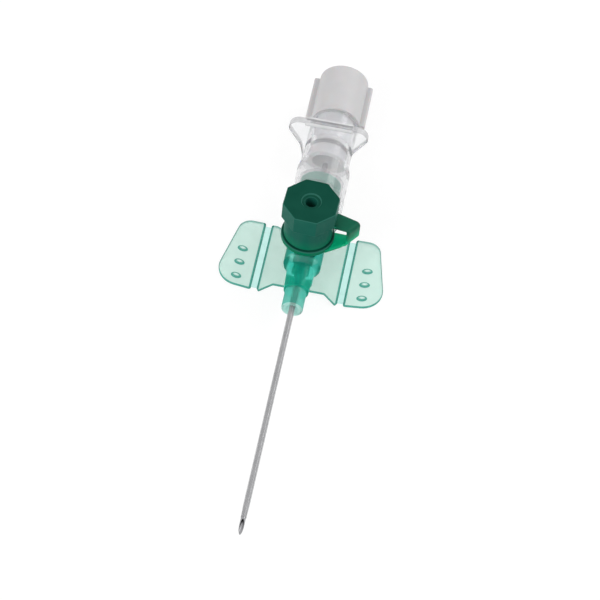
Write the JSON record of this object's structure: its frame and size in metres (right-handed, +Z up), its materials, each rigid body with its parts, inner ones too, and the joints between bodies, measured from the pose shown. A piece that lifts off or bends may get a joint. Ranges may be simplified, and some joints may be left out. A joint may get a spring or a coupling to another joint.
{
  "type": "intravenous cannula",
  "caption": "Winged over-the-needle intravenous cannula with a capped top injection port, a clear flash chamber with a grip plate and a white vented plug.",
  "frame": {"origin": "on the flat underside of the wings, straight below the axis of the injection port", "axes": "+Y from the needle's point towards the plug, +Z up along the injection port, +X to the side that the cap's strap is on"},
  "size_m": [0.032, 0.1094, 0.0193],
  "materials": {
    "green_clear": "glossy translucent",
    "green_solid": "satin",
    "clear": "glossy clear",
    "white": "satin",
    "catheter": "glossy translucent",
    "steel": "polished",
    "silicone": "matte",
    "filter": "matte"
  },
  "bodies": {
    "hub": {"catheter_hub": "green_clear", "catheter_tube": "catheter", "catheter_wedge": "steel", "port_valve": "silicone"},
    "wing_right": {"wing_panel_right": "green_clear"},
    "wing_left": {"wing_panel_left": "green_clear"},
    "retainer": {"cap_retainer": "green_solid"},
    "cap": {"port_cap": "green_solid"},
    "needle": {"needle_hub": "clear", "needle_tube": "steel"},
    "plug": {"luer_plug": "white", "vent_filter": "filter"}
  },
  "joints": [
    {"name": "wing_right_fold", "type": "hinge", "parent": "hub", "child": "wing_right", "pos_m": [0.00839, 0, 0.00025], "axis": [0, -1, 0], "range_deg": [0, 85]},
    {"name": "wing_left_fold", "type": "hinge", "parent": "hub", "child": "wing_left", "pos_m": [-0.00839, 0, 0.00025], "axis": [0, 1, 0], "range_deg": [0, 85]},
    {"name": "retainer_turn", "type": "hinge", "parent": "hub", "child": "retainer", "pos_m": [0, 0, 0.009], "axis": [0, 0, 1], "range_deg": [-220, 35]},
    {"name": "cap_lift", "type": "slide", "parent": "retainer", "child": "cap", "axis": [0, 0, 1], "range_m": [0, 0.006]},
    {"name": "needle_withdraw", "type": "slide", "parent": "hub", "child": "needle", "axis": [0, 1, 0], "range_m": [0, 0.083]},
    {"name": "plug_pull", "type": "slide", "parent": "needle", "child": "plug", "axis": [0, 1, 0], "range_m": [0, 0.0125]}
  ]
}
